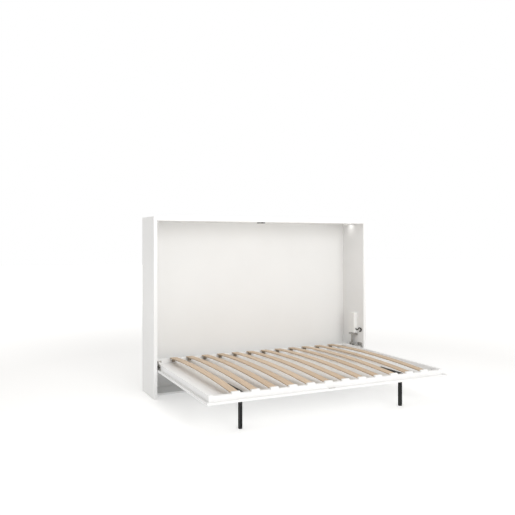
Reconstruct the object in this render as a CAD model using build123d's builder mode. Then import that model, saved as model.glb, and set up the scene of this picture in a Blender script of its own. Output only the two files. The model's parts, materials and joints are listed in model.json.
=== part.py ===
from build123d import *
import math
import os

# Horizontal fold-down wall bed for a 1400 x 2000 mattress, drawn with the bed folded down.
# Millimetres. +X runs along the bed to the right, +Y goes into the wall, +Z is up.
# The pieces are drawn with the wall at y = 0 and saved with the origin on the floor
# under the middle of the whole object.

os.makedirs("parts", exist_ok=True)

SIDES = {"left": -1, "right": 1}

# ---- cabinet ---------------------------------------------------------------------------
WIDTH = 2130.0
HEIGHT = 1528.0
DEPTH = 372.0
TOP_T = 35.0
SIDE_T = 30.0
GLIDE_T = 2.0
BACK_T = 8.0
BACK_INSET = 4.0
GROOVE = 8.0
BASE_T = 18.0
BASE_FRONT = -245.0
EDGE_R = 1.0

INNER_X = WIDTH / 2 - SIDE_T
TOP_UNDER = HEIGHT - TOP_T
BACK_FRONT = -(BACK_INSET + BACK_T)
BASE_TOP = GLIDE_T + BASE_T

# ---- folding bed -------------------------------------------------------------------------
DOOR_T = 16.0
DOOR_UNDER = 230.0
DOOR_FRONT = -1529.0
DOOR_GAP_SIDE = 2.5
DOOR_GAP_TOP = 2.0
DOOR_GAP_FLOOR = 20.0
SEAM_Y = -800.0
SEAM = 1.0
RAIL_W = 30.0
SIDE_RAIL_TOP = 292.0
CROSS_RAIL_TOP = 284.0
FRAME_HALF = 1002.0
FRAME_SHIFT = -11.0
FRAME_FRONT = -1508.0
FRAME_REAR = -81.0

DOOR_TOP = DOOR_UNDER + DOOR_T
DOOR_X = INNER_X - DOOR_GAP_SIDE
FRAME_EDGE = {side: FRAME_SHIFT + side * FRAME_HALF for side in SIDES.values()}
FRAME_INNER = {side: FRAME_EDGE[side] - side * RAIL_W for side in SIDES.values()}
HALF_DEPTH = -DOOR_FRONT / 2

# The closed door is flush with the cabinet's front and stops under the top panel, and
# that fixes the pivot of the quarter turn.
PIVOT_SUM = TOP_UNDER - DOOR_GAP_TOP + DOOR_FRONT
PIVOT_DIFF = -DEPTH - DOOR_UNDER
PIVOT_Y = (PIVOT_SUM + PIVOT_DIFF) / 2
PIVOT_Z = (PIVOT_SUM - PIVOT_DIFF) / 2
DOOR_REAR = PIVOT_SUM - DOOR_GAP_FLOOR

# ---- slats ---------------------------------------------------------------------------------
SLAT_COUNT = 12
SLAT_PITCH = 148.0
SLAT_W = 62.0
SLAT_T = 8.0
SLAT_BOW = 24.0
SLAT_REAR = -112.0
SLAT_FRONT = -1500.0
CAP_W = 64.0
CAP_DEPTH = 20.0
CAP_H = 15.0
CAP_ROOF = 2.5
CAP_PLAY = 0.1
REST_W = 28.0
REST_DEPTH = 12.0
REST_H = 30.0
SLAT_X = [(i - (SLAT_COUNT - 1) / 2) * SLAT_PITCH for i in range(SLAT_COUNT)]

# ---- folding legs ----------------------------------------------------------------------------
LEG_HALF_SPREAD = 701.0
LEG_SHIFT = -25.0
LEG_W = 24.0
LEG_Y = -1378.0
LEG_PIVOT_Z = DOOR_UNDER + 14.0
LEG_PIN_R = 4.0
LEG_FOOT_H = 10.0
CHANNEL_W = 31.0
CHANNEL_WALL = 1.5
CHANNEL_LOW = DOOR_UNDER + 2.0
CHANNEL_TOP = 264.0
CHANNEL_FRONT = -1404.0
CHANNEL_REAR = -1114.0
SLOT_GAP = 0.5
TAB_REACH = 14.0
TAB_T = 2.0
LEG_BOLT_Z = (163.0, 179.0)
LEG_MID = {side: LEG_SHIFT + side * LEG_HALF_SPREAD for side in SIDES.values()}

# ---- pivots and lift strut -------------------------------------------------------------------
PIVOT_PIN_R = 6.0
BUSH_R = 8.0
CLEAR = 0.05
ARM_T = 5.0
PLATE_T = 3.0
LIFT_X = 1014.0
LIFT_LOW_Y = -208.0
LIFT_LOW_Z = 297.0
LIFT_HIGH_Y = -200.0
LIFT_HIGH_Z = 585.0
LIFT_PIN_R = 4.0
TUBE_R = 11.0
BORE_R = 9.5
ROD_R = 5.0
TUBE_START = 13.0
TUBE_END = 214.0
TUBE_CAP = 6.0
BORE_START = 22.0
PISTON_START = 24.0
PISTON_END = 34.0
EYE_R = 9.0
EYE_HALF = 6.0
COVER_X = 995.0
COVER_FRONT = -267.0
COVER_REAR = -173.0
COVER_LOW = 415.0
COVER_HIGH = 612.0
COVER_WALL = 2.0
GUIDE_Z = 408.0
GUIDE_T = 3.0
GUIDE_LIP = 16.0
GUIDE_BACK = 16.0
GUIDE_INSET = 2.0
GUIDE_OVERHANG = 6.0
GUIDE_SLOT_GAP = 1.5
GUIDE_SLOT_END = 7.0
UPPER_WASHER_T = 4.0

SCREW_R = 2.0
SCREW_DEPTH = 14.0


def block(x_span, y_span, z_span, mode=Mode.ADD):
    """A box from its two corner values along each axis."""
    spans = [sorted(pair) for pair in (x_span, y_span, z_span)]
    centre = tuple((low + high) / 2 for low, high in spans)
    with Locations(centre):
        Box(*[high - low for low, high in spans], mode=mode)


def rod_x(x_from, x_to, y, z, radius, mode=Mode.ADD):
    """A round bar along X."""
    with Locations(Location(((x_from + x_to) / 2, y, z), (0, 90, 0))):
        Cylinder(radius, abs(x_to - x_from), mode=mode)


def rod_y(x, y_from, y_to, z, radius, mode=Mode.ADD):
    """A round bar along Y."""
    with Locations(Location((x, (y_from + y_to) / 2, z), (90, 0, 0))):
        Cylinder(radius, abs(y_to - y_from), mode=mode)


def rod_z(x, y, z_from, z_to, radius, mode=Mode.ADD):
    """A round bar along Z."""
    with Locations((x, y, (z_from + z_to) / 2)):
        Cylinder(radius, abs(z_to - z_from), mode=mode)


def save(builder, name):
    """Write one piece, moved so that y = 0 is the middle of the whole depth."""
    builder.part.label = name
    piece = builder.part.moved(Location((0, HALF_DEPTH, 0)))
    piece.label = name
    export_step(piece, f"parts/{name}.step")


# ---- cabinet carcass -------------------------------------------------------------------
TOP_SCREW_Y = (-320.0, -190.0, -60.0)
TOP_SCREW_R = 3.5
TOP_HEAD_R = 6.0
TOP_HEAD_DEPTH = 7.0
TOP_SCREW_REACH = 38.0
PLATE_SCREWS = ((PIVOT_Y - 18, 262.0), (PIVOT_Y - 18, 312.0), (PIVOT_Y + 34, 262.0), (PIVOT_Y + 34, 312.0))
GUIDE_SCREWS = ((-250.0, 399.0), (-190.0, 399.0))
SCREWS = {-1: PLATE_SCREWS, 1: PLATE_SCREWS + GUIDE_SCREWS}
WALL_X = 700.0
WALL_Z = (38.0, 1475.0)
WALL_HOLE_R = 3.5

for word, side in SIDES.items():
    inner = side * INNER_X
    with BuildPart() as side_panel:
        block((inner, side * WIDTH / 2), (-DEPTH, 0), (GLIDE_T, TOP_UNDER))
        fillet(side_panel.edges().filter_by(Axis.Z).group_by(Axis.Y)[0], EDGE_R)
        groove = (inner, side * (INNER_X + GROOVE))
        block(groove, (BACK_FRONT, -BACK_INSET), (GLIDE_T, TOP_UNDER), Mode.SUBTRACT)
        for y in TOP_SCREW_Y:
            screw_x = side * (WIDTH - SIDE_T) / 2
            rod_z(screw_x, y, TOP_UNDER - TOP_SCREW_REACH, TOP_UNDER, TOP_SCREW_R, Mode.SUBTRACT)
        for y, z in SCREWS[side]:
            rod_x(inner, side * (INNER_X + SCREW_DEPTH), y, z, SCREW_R, Mode.SUBTRACT)
        pin_end = side * (INNER_X + SCREW_DEPTH)
        rod_x(inner, pin_end, PIVOT_Y, PIVOT_Z, PIVOT_PIN_R, Mode.SUBTRACT)
        if word == "right":
            rod_x(inner, pin_end, LIFT_HIGH_Y, LIFT_HIGH_Z, LIFT_PIN_R, Mode.SUBTRACT)
    save(side_panel, f"{word}_side_panel")

with BuildPart() as top_panel:
    block((-WIDTH / 2, WIDTH / 2), (-DEPTH, 0), (TOP_UNDER, HEIGHT))
    fillet(top_panel.edges().filter_by(Axis.X).group_by(Axis.Y)[0], EDGE_R)
    groove = (-INNER_X - GROOVE, INNER_X + GROOVE)
    block(groove, (BACK_FRONT, -BACK_INSET), (TOP_UNDER, TOP_UNDER + GROOVE), Mode.SUBTRACT)
    for side in SIDES.values():
        for y in TOP_SCREW_Y:
            screw_x = side * (WIDTH - SIDE_T) / 2
            rod_z(screw_x, y, TOP_UNDER, HEIGHT, TOP_SCREW_R, Mode.SUBTRACT)
            rod_z(screw_x, y, HEIGHT - TOP_HEAD_DEPTH, HEIGHT, TOP_HEAD_R, Mode.SUBTRACT)
save(top_panel, "top_panel")

with BuildPart() as back_panel:
    half = INNER_X + GROOVE
    block((-half, half), (BACK_FRONT, -BACK_INSET), (GLIDE_T, TOP_UNDER + GROOVE))
    for x in (-WALL_X, WALL_X):
        for z in WALL_Z:
            rod_y(x, BACK_FRONT, -BACK_INSET, z, WALL_HOLE_R, Mode.SUBTRACT)
save(back_panel, "back_panel")

with BuildPart() as base_board:
    block((-INNER_X, INNER_X), (BASE_FRONT, BACK_FRONT), (GLIDE_T, BASE_TOP))
    fillet(base_board.edges().filter_by(Axis.X).group_by(Axis.Y)[0], EDGE_R)
save(base_board, "base_board")

# Steel angles: one leg on a board, the other on the back panel round the wall screw.
BRACKET_W = 40.0
BRACKET_LEG = 30.0
BRACKET_T = 2.0

with BuildPart() as wall_brackets:
    for x in (-WALL_X, WALL_X):
        x_span = (x - BRACKET_W / 2, x + BRACKET_W / 2)
        for z, board_face, rise in ((WALL_Z[0], BASE_TOP, 1), (WALL_Z[1], TOP_UNDER, -1)):
            upright = (BACK_FRONT - BRACKET_T, BACK_FRONT)
            block(x_span, upright, (board_face, board_face + rise * BRACKET_LEG))
            foot = (BACK_FRONT - BRACKET_LEG, BACK_FRONT)
            block(x_span, foot, (board_face, board_face + rise * BRACKET_T))
            rod_y(x, *upright, z, WALL_HOLE_R, Mode.SUBTRACT)
save(wall_brackets, "wall_brackets")

with BuildPart() as top_screws:
    for side in SIDES.values():
        for y in TOP_SCREW_Y:
            screw_x = side * (WIDTH - SIDE_T) / 2
            rod_z(screw_x, y, TOP_UNDER - TOP_SCREW_REACH, HEIGHT - TOP_HEAD_DEPTH, TOP_SCREW_R)
            rod_z(screw_x, y, HEIGHT - TOP_HEAD_DEPTH, HEIGHT, TOP_HEAD_R)
save(top_screws, "top_screws")

GLIDE_R = 12.0
GLIDE_SIDE_Y = (-350.0, -190.0, -24.0)
GLIDE_BASE_X = (-700.0, 0.0, 700.0)
GLIDE_BASE_Y = (-215.0, -40.0)

with BuildPart() as floor_glides:
    for side in SIDES.values():
        for y in GLIDE_SIDE_Y:
            rod_z(side * (WIDTH - SIDE_T) / 2, y, 0, GLIDE_T, GLIDE_R)
    for x in GLIDE_BASE_X:
        for y in GLIDE_BASE_Y:
            rod_z(x, y, 0, GLIDE_T, GLIDE_R)
save(floor_glides, "floor_glides")

# ---- lights under the top panel -----------------------------------------------------------
LIGHT_X = 985.0
LIGHT_Y = -157.0
LIGHT_R = 30.0
LIGHT_H = 8.0
LENS_R = 24.0
LENS_H = 2.5
LENS_INSET = 0.5

with BuildPart() as light_housings:
    for side in SIDES.values():
        low = TOP_UNDER - LIGHT_H
        rod_z(side * LIGHT_X, LIGHT_Y, low, TOP_UNDER, LIGHT_R)
        rod_z(side * LIGHT_X, LIGHT_Y, low, low + LENS_INSET + LENS_H, LENS_R, Mode.SUBTRACT)
save(light_housings, "light_housings")

with BuildPart() as light_lenses:
    for side in SIDES.values():
        low = TOP_UNDER - LIGHT_H + LENS_INSET
        rod_z(side * LIGHT_X, LIGHT_Y, low, low + LENS_H, LENS_R)
save(light_lenses, "light_lenses")

# ---- push latch under the top panel -------------------------------------------------------
LATCH_X = (-84.0, -26.0)
LATCH_Y = (-352.0, -300.0)
LATCH_H = 12.0
PLUNGER_HALF = 10.0
PLUNGER_Y = (-354.0, -322.0)
PLUNGER_Z = (TOP_UNDER - 9.5, TOP_UNDER - 2.5)
PLUNGER_GAP = 0.5
SPRING_R = 2.5
SPRING_FRONT = -314.0
CAVITY_REAR = -306.0
LATCH_MID = sum(LATCH_X) / 2
LATCH_MID_Z = sum(PLUNGER_Z) / 2

with BuildPart() as latch_housing:
    block(LATCH_X, LATCH_Y, (TOP_UNDER - LATCH_H, TOP_UNDER))
    fillet(latch_housing.edges().filter_by(Axis.Z), 3)
    half = PLUNGER_HALF + PLUNGER_GAP
    cavity_z = (PLUNGER_Z[0] - PLUNGER_GAP, PLUNGER_Z[1] + PLUNGER_GAP)
    cavity_x = (LATCH_MID - half, LATCH_MID + half)
    block(cavity_x, (LATCH_Y[0], CAVITY_REAR), cavity_z, Mode.SUBTRACT)
save(latch_housing, "latch_housing")

with BuildPart() as latch_plunger:
    block((LATCH_MID - PLUNGER_HALF, LATCH_MID + PLUNGER_HALF), PLUNGER_Y, PLUNGER_Z)
    fillet(latch_plunger.edges().filter_by(Axis.Z).group_by(Axis.Y)[0], 1.5)
save(latch_plunger, "latch_plunger")

# The spring is drawn at its pressed length.
with BuildPart() as latch_spring:
    rod_y(LATCH_MID, SPRING_FRONT, CAVITY_REAR, LATCH_MID_Z, SPRING_R)
save(latch_spring, "latch_spring")

# ---- pivots on the cabinet sides ------------------------------------------------------------
BOSS_R = 14.0
# The door's inner face passes the pivot at 36 mm, so the plate's lower front is rounder.
PLATE_R = 33.0
FLANGE_T = 2.0
BOSS_GAP = 1.0

for word, side in SIDES.items():
    plate_inner = side * (INNER_X - PLATE_T)
    boss_end = FRAME_EDGE[side] + side * (ARM_T + FLANGE_T + BOSS_GAP)
    with BuildPart() as pivot_bracket:
        with BuildSketch(Plane.YZ.offset(side * INNER_X)):
            with Locations((PIVOT_Y, PIVOT_Z)):
                Circle(PLATE_R)
            with Locations((PIVOT_Y + 8, PIVOT_Z + 20)):
                RectangleRounded(76, 46, 10)
            with Locations((PIVOT_Y + 25, PIVOT_Z + 5)):
                RectangleRounded(42, 76, 10)
        extrude(amount=-side * PLATE_T)
        rod_x(plate_inner, boss_end, PIVOT_Y, PIVOT_Z, BOSS_R)
        rod_x(side * INNER_X, boss_end, PIVOT_Y, PIVOT_Z, PIVOT_PIN_R, Mode.SUBTRACT)
        for y, z in PLATE_SCREWS:
            rod_x(side * INNER_X, plate_inner, y, z, SCREW_R, Mode.SUBTRACT)
    save(pivot_bracket, f"pivot_bracket_{word}")

with BuildPart() as pivot_pins:
    for side in SIDES.values():
        pin_in = FRAME_EDGE[side] - side * (SCREW_DEPTH - 1)
        rod_x(side * (INNER_X + SCREW_DEPTH), pin_in, PIVOT_Y, PIVOT_Z, PIVOT_PIN_R)
save(pivot_pins, "pivot_pins")

# The hook stands on a spacer and splays out from the panel towards its rear end.
HOOK_T = 4.0
HOOK_FRONT = (1026.0, -345.0, 0.0)
HOOK_SPLAY = 16.0
HOOK_RUN = 75.0
HOOK_W = 9.0
SPACER_Y = HOOK_FRONT[1] + 2
SPACER_Z = 456.0
SPACER_R = 4.0
HEAD_H = 2.0

with BuildPart() as cabinet_screws:
    for side, spots in SCREWS.items():
        for y, z in spots:
            seat = side * (INNER_X - PLATE_T)
            rod_x(side * (INNER_X + SCREW_DEPTH), seat, y, z, SCREW_R)
            rod_x(seat, seat - side * HEAD_H, y, z, 2 * SCREW_R)
save(cabinet_screws, "cabinet_screws")

# ---- cover, guide, upper pin and catch hook on the right side panel -------------------------
with BuildPart() as lift_cover:
    block((COVER_X, INNER_X), (COVER_FRONT, COVER_REAR), (COVER_LOW, COVER_HIGH))
    fillet(lift_cover.edges().filter_by(Axis.Z).group_by(Axis.X)[0], 4)
    block(
        (COVER_X + COVER_WALL, INNER_X),
        (COVER_FRONT + COVER_WALL, COVER_REAR),
        (COVER_LOW, COVER_HIGH - COVER_WALL),
        Mode.SUBTRACT,
    )
save(lift_cover, "lift_cover")

with BuildPart() as lift_upper_pin:
    rod_x(INNER_X + SCREW_DEPTH, LIFT_X + TUBE_R + 1, LIFT_HIGH_Y, LIFT_HIGH_Z, LIFT_PIN_R)
    rod_x(INNER_X, INNER_X - UPPER_WASHER_T, LIFT_HIGH_Y, LIFT_HIGH_Z, 2 * LIFT_PIN_R)
save(lift_upper_pin, "lift_upper_pin")

with BuildPart() as guide_bracket:
    y_span = (COVER_FRONT - GUIDE_OVERHANG, COVER_REAR)
    lip_x = COVER_X + GUIDE_INSET
    block((lip_x, INNER_X), y_span, (GUIDE_Z - GUIDE_T, GUIDE_Z))
    block((lip_x, lip_x + GUIDE_T), y_span, (GUIDE_Z - GUIDE_LIP, GUIDE_Z))
    block((INNER_X - GUIDE_T, INNER_X), y_span, (GUIDE_Z - GUIDE_BACK, GUIDE_Z))
    slot_half = TUBE_R + GUIDE_SLOT_GAP
    slot_x = (LIFT_X - slot_half, LIFT_X + slot_half)
    slot_y = (COVER_FRONT - GUIDE_INSET, COVER_REAR - GUIDE_SLOT_END)
    block(slot_x, slot_y, (GUIDE_Z - GUIDE_T, GUIDE_Z), Mode.SUBTRACT)
    for y, z in GUIDE_SCREWS:
        rod_x(INNER_X, INNER_X - GUIDE_T, y, z, SCREW_R, Mode.SUBTRACT)
save(guide_bracket, "guide_bracket")

with BuildPart() as catch_hook:
    hook_plane = Plane(
        origin=HOOK_FRONT,
        x_dir=(-HOOK_SPLAY, HOOK_RUN, 0),
        z_dir=(HOOK_RUN, HOOK_SPLAY, 0),
    )
    with BuildSketch(hook_plane):
        with BuildLine() as hook_path:
            Spline(
                (71, 462), (64, 447), (48, 448), (27, 467),
                (6, 459), (7, 441), (26, 436),
            )
        trace(hook_path.line, line_width=HOOK_W)
    extrude(amount=HOOK_T)
    rod_x(HOOK_FRONT[0] + HOOK_T / 2, INNER_X, SPACER_Y, SPACER_Z, SPACER_R)
save(catch_hook, "catch_hook")

# ---- door: two boards edge to edge -----------------------------------------------------------
DOWEL_R = 4.0
DOWEL_REACH = 30.0
DOWEL_X = (-800.0, -400.0, 0.0, 400.0, 800.0)
DOWEL_Z = DOOR_UNDER + DOOR_T / 2
RAIL_SCREW_R = 2.5
RAIL_SCREW_DEEP = 10.0
RAIL_HEAD_R = 5.0
RAIL_HEAD_H = 4.0
RAIL_COUNTERBORE = 20.0
SIDE_RAIL_SCREW_Y = (-1300.0, -900.0, -560.0, -160.0)
CROSS_RAIL_SCREW_X = (-740.0, -296.0, 296.0, 740.0)
RAIL_SPOTS = []
for side in SIDES.values():
    for y in SIDE_RAIL_SCREW_Y:
        RAIL_SPOTS.append((FRAME_EDGE[side] - side * RAIL_W / 2, y))
for x in CROSS_RAIL_SCREW_X:
    RAIL_SPOTS.append((x, FRAME_FRONT + RAIL_W / 2))
    RAIL_SPOTS.append((x, FRAME_REAR - RAIL_W / 2))

for word, y_span in (
    ("front", (DOOR_FRONT, SEAM_Y - SEAM / 2)),
    ("rear", (SEAM_Y + SEAM / 2, DOOR_REAR)),
):
    with BuildPart() as door_board:
        block((-DOOR_X, DOOR_X), y_span, (DOOR_UNDER, DOOR_TOP))
        fillet(door_board.edges().filter_by(Axis.Z), 2)
        fillet(door_board.edges().group_by(Axis.Z)[0], EDGE_R)
        for x in DOWEL_X:
            rod_y(x, SEAM_Y - DOWEL_REACH, SEAM_Y + DOWEL_REACH, DOWEL_Z, DOWEL_R, Mode.SUBTRACT)
        for x, y in RAIL_SPOTS:
            if y_span[0] < y < y_span[1]:
                rod_z(x, y, DOOR_TOP - RAIL_SCREW_DEEP, DOOR_TOP, RAIL_SCREW_R, Mode.SUBTRACT)
        if word == "front":
            half = CHANNEL_W / 2 + SLOT_GAP
            slot_y = (CHANNEL_FRONT - 2, CHANNEL_REAR + 2)
            for mid in LEG_MID.values():
                block((mid - half, mid + half), slot_y, (DOOR_UNDER, DOOR_TOP), Mode.SUBTRACT)
    save(door_board, f"door_board_{word}")

with BuildPart() as door_dowels:
    for x in DOWEL_X:
        rod_y(x, SEAM_Y - DOWEL_REACH, SEAM_Y + DOWEL_REACH, DOWEL_Z, DOWEL_R)
save(door_dowels, "door_dowels")

STRIKE_Y = (-1527.0, -1511.0)
STRIKE_T = 1.0

with BuildPart() as strike_plate:
    block(LATCH_X, STRIKE_Y, (DOOR_TOP, DOOR_TOP + STRIKE_T))
save(strike_plate, "strike_plate")

# ---- bed frame rails ---------------------------------------------------------------------------


def screw_holes(x_low, x_high, y_low, y_high, top):
    """Counterbored holes for the rail screws that fall inside one rail."""
    for x, y in RAIL_SPOTS:
        if x_low < x < x_high and y_low < y < y_high:
            rod_z(x, y, DOOR_TOP, top, RAIL_SCREW_R, Mode.SUBTRACT)
            rod_z(x, y, DOOR_TOP + RAIL_COUNTERBORE, top, RAIL_HEAD_R, Mode.SUBTRACT)


for word, side in SIDES.items():
    edge = FRAME_EDGE[side]
    x_low, x_high = sorted((edge, FRAME_INNER[side]))
    with BuildPart() as side_rail:
        block((x_low, x_high), (FRAME_FRONT, FRAME_REAR), (DOOR_TOP, SIDE_RAIL_TOP))
        fillet(side_rail.edges().filter_by(Axis.Y).group_by(Axis.Z)[-1], 1.5)
        screw_holes(x_low, x_high, FRAME_FRONT, FRAME_REAR, SIDE_RAIL_TOP)
        rod_x(edge, edge - side * SCREW_DEPTH, PIVOT_Y, PIVOT_Z, BUSH_R, Mode.SUBTRACT)
    save(side_rail, f"{word}_rail")

for word, y_span in (
    ("front", (FRAME_FRONT, FRAME_FRONT + RAIL_W)),
    ("rear", (FRAME_REAR - RAIL_W, FRAME_REAR)),
):
    with BuildPart() as cross_rail:
        block((FRAME_INNER[-1], FRAME_INNER[1]), y_span, (DOOR_TOP, CROSS_RAIL_TOP))
        fillet(cross_rail.edges().filter_by(Axis.X).group_by(Axis.Z)[-1], 1.5)
        screw_holes(FRAME_INNER[-1], FRAME_INNER[1], *y_span, CROSS_RAIL_TOP)
    save(cross_rail, f"{word}_rail")

with BuildPart() as rail_screws:
    for x, y in RAIL_SPOTS:
        seat = DOOR_TOP + RAIL_COUNTERBORE
        rod_z(x, y, DOOR_TOP - RAIL_SCREW_DEEP, seat, RAIL_SCREW_R)
        rod_z(x, y, seat, seat + RAIL_HEAD_H, RAIL_HEAD_R)
save(rail_screws, "rail_screws")

# Angles inside the four corners, under the slats.
CORNER_LEG = 60.0
CORNER_T = 2.5
CORNER_Z = (DOOR_TOP + 2, DOOR_TOP + 26)

with BuildPart() as corner_brackets:
    for side in SIDES.values():
        inner = FRAME_INNER[side]
        for wall, inward in ((FRAME_FRONT + RAIL_W, 1), (FRAME_REAR - RAIL_W, -1)):
            block((inner, inner - side * CORNER_T), (wall, wall + inward * CORNER_LEG), CORNER_Z)
            block((inner, inner - side * CORNER_LEG), (wall, wall + inward * CORNER_T), CORNER_Z)
save(corner_brackets, "corner_brackets")

# ---- sprung slats, their front caps and rear rests -----------------------------------------
slat_ends = ((SLAT_REAR, CROSS_RAIL_TOP), (SLAT_FRONT, CROSS_RAIL_TOP))
slat_mid = ((SLAT_REAR + SLAT_FRONT) / 2, CROSS_RAIL_TOP + SLAT_BOW)

for number, x in enumerate(SLAT_X, start=1):
    with BuildPart() as slat:
        with BuildSketch(Plane.YZ.offset(x - SLAT_W / 2)):
            with BuildLine():
                under = ThreePointArc(slat_ends[0], slat_mid, slat_ends[1])
                raised = [(y, z + SLAT_T) for y, z in (slat_ends[0], slat_mid, slat_ends[1])]
                over = ThreePointArc(*raised)
                Line(under @ 0, over @ 0)
                Line(under @ 1, over @ 1)
            make_face()
        extrude(amount=SLAT_W)
    save(slat, f"slat_{number:02d}")

with BuildPart() as slat_caps:
    for x in SLAT_X:
        y_span = (FRAME_FRONT, FRAME_FRONT + CAP_DEPTH)
        block((x - CAP_W / 2, x + CAP_W / 2), y_span, (CROSS_RAIL_TOP, CROSS_RAIL_TOP + CAP_H))
        half = SLAT_W / 2 + CAP_PLAY
        slot_z = (CROSS_RAIL_TOP, CROSS_RAIL_TOP + CAP_H - CAP_ROOF)
        block((x - half, x + half), (SLAT_FRONT - CAP_PLAY, y_span[1]), slot_z, Mode.SUBTRACT)
save(slat_caps, "slat_caps")

with BuildPart() as slat_rests:
    rest_rear = FRAME_REAR - RAIL_W
    rest_z = (CROSS_RAIL_TOP - REST_H, CROSS_RAIL_TOP)
    for x in SLAT_X:
        block((x - REST_W / 2, x + REST_W / 2), (rest_rear - REST_DEPTH, rest_rear), rest_z)
save(slat_rests, "slat_rests")

# ---- hinge arms, bushes, bolts and the lift's lower pin ---------------------------------------
ARM_SPAN = (-400.0, -125.0)
ARM_LOW = DOOR_TOP + 2
ARM_HIGH = SIDE_RAIL_TOP - 2
ARM_EYE_R = 30.0
LUG_Y = (-275.0, -190.0)
LUG_TOP = 318.0
BOLT_SPOTS = ((-385.0, 268.0), (-140.0, 264.0))
LUG_HEAD_SPOTS = ((-221.0, 304.0), (-257.0, 300.0))
BOLT_R = 6.0
BOLT_H = 5.0

for word, side in SIDES.items():
    with BuildPart() as hinge_arm:
        with BuildSketch(Plane.YZ.offset(FRAME_EDGE[side])):
            with Locations((sum(ARM_SPAN) / 2, (ARM_LOW + ARM_HIGH) / 2)):
                RectangleRounded(ARM_SPAN[1] - ARM_SPAN[0], ARM_HIGH - ARM_LOW, 6)
            with Locations((PIVOT_Y, PIVOT_Z)):
                Circle(ARM_EYE_R)
            if word == "right":
                with Locations((sum(LUG_Y) / 2, (ARM_LOW + LUG_TOP) / 2)):
                    RectangleRounded(LUG_Y[1] - LUG_Y[0], LUG_TOP - ARM_LOW, 8)
            with Locations((PIVOT_Y, PIVOT_Z)):
                Circle(BUSH_R, mode=Mode.SUBTRACT)
        extrude(amount=side * ARM_T)
    save(hinge_arm, f"hinge_arm_{word}")

with BuildPart() as hinge_bushes:
    for side in SIDES.values():
        bush_in = FRAME_EDGE[side] - side * SCREW_DEPTH
        bush_out = FRAME_EDGE[side] + side * ARM_T
        flange = bush_out + side * FLANGE_T
        rod_x(bush_in, bush_out, PIVOT_Y, PIVOT_Z, BUSH_R)
        rod_x(bush_out, flange, PIVOT_Y, PIVOT_Z, BUSH_R + 3)
        rod_x(bush_in, flange, PIVOT_Y, PIVOT_Z, PIVOT_PIN_R + CLEAR, Mode.SUBTRACT)
save(hinge_bushes, "hinge_bushes")

with BuildPart() as arm_bolts:
    for side in SIDES.values():
        face = FRAME_EDGE[side] + side * ARM_T
        for y, z in BOLT_SPOTS:
            rod_x(face, face + side * BOLT_H, y, z, BOLT_R)
    for y, z in LUG_HEAD_SPOTS:
        rod_x(FRAME_EDGE[1], FRAME_EDGE[1] - BOLT_H, y, z, BOLT_R)
save(arm_bolts, "arm_bolts")

with BuildPart() as lift_lower_pin:
    rod_x(FRAME_EDGE[1] + ARM_T, LIFT_X + EYE_HALF + 3, LIFT_LOW_Y, LIFT_LOW_Z, LIFT_PIN_R)
    rod_x(LIFT_X + EYE_HALF + 1, LIFT_X + EYE_HALF + 3, LIFT_LOW_Y, LIFT_LOW_Z, LIFT_PIN_R + 2.5)
save(lift_lower_pin, "lift_lower_pin")

# ---- lift strut: cylinder and rod ----------------------------------------------------------------
LIFT_LENGTH = math.hypot(LIFT_HIGH_Y - LIFT_LOW_Y, LIFT_HIGH_Z - LIFT_LOW_Z)
LIFT_TILT = math.degrees(math.atan2(LIFT_HIGH_Y - LIFT_LOW_Y, LIFT_HIGH_Z - LIFT_LOW_Z))
EYE_X = (LIFT_X - EYE_HALF, LIFT_X + EYE_HALF)


def lift_bar(start, end, radius, mode=Mode.ADD):
    """A round bar on the strut's own line, between two distances from its lower pin."""
    share = (start + end) / 2 / LIFT_LENGTH
    y = LIFT_LOW_Y + share * (LIFT_HIGH_Y - LIFT_LOW_Y)
    z = LIFT_LOW_Z + share * (LIFT_HIGH_Z - LIFT_LOW_Z)
    with Locations(Location((LIFT_X, y, z), (-LIFT_TILT, 0, 0))):
        Cylinder(radius, end - start, mode=mode)


with BuildPart() as lift_cylinder:
    lift_bar(TUBE_START, TUBE_END, TUBE_R)
    lift_bar(0, TUBE_START, ROD_R)
    rod_x(*EYE_X, LIFT_LOW_Y, LIFT_LOW_Z, EYE_R)
    lift_bar(BORE_START, TUBE_END - TUBE_CAP, BORE_R, Mode.SUBTRACT)
    lift_bar(TUBE_END - TUBE_CAP, TUBE_END, ROD_R + CLEAR, Mode.SUBTRACT)
    rod_x(*EYE_X, LIFT_LOW_Y, LIFT_LOW_Z, LIFT_PIN_R + CLEAR, Mode.SUBTRACT)
save(lift_cylinder, "lift_cylinder")

with BuildPart() as lift_rod:
    lift_bar(PISTON_START, PISTON_END, BORE_R - CLEAR)
    lift_bar(PISTON_END, LIFT_LENGTH, ROD_R)
    rod_x(*EYE_X, LIFT_HIGH_Y, LIFT_HIGH_Z, EYE_R)
    rod_x(*EYE_X, LIFT_HIGH_Y, LIFT_HIGH_Z, LIFT_PIN_R, Mode.SUBTRACT)
save(lift_rod, "lift_rod")

# ---- folding legs: channels and pins in the bed, legs below it --------------------------------
with BuildPart() as leg_channels:
    for mid in LEG_MID.values():
        half = CHANNEL_W / 2
        inner = half - CHANNEL_WALL
        y_span = (CHANNEL_FRONT, CHANNEL_REAR)
        inner_y = (CHANNEL_FRONT + CHANNEL_WALL, CHANNEL_REAR - CHANNEL_WALL)
        block((mid - half, mid + half), y_span, (CHANNEL_LOW, CHANNEL_TOP))
        for edge, reach in ((CHANNEL_FRONT, -TAB_REACH), (CHANNEL_REAR, TAB_REACH)):
            block((mid - half, mid + half), (edge, edge + reach), (DOOR_TOP, DOOR_TOP + TAB_T))
        inner_z = (CHANNEL_LOW, CHANNEL_TOP - CHANNEL_WALL)
        block((mid - inner, mid + inner), inner_y, inner_z, Mode.SUBTRACT)
        rod_x(mid - half, mid + half, LEG_Y, LEG_PIVOT_Z, LEG_PIN_R, Mode.SUBTRACT)
save(leg_channels, "leg_channels")

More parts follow.
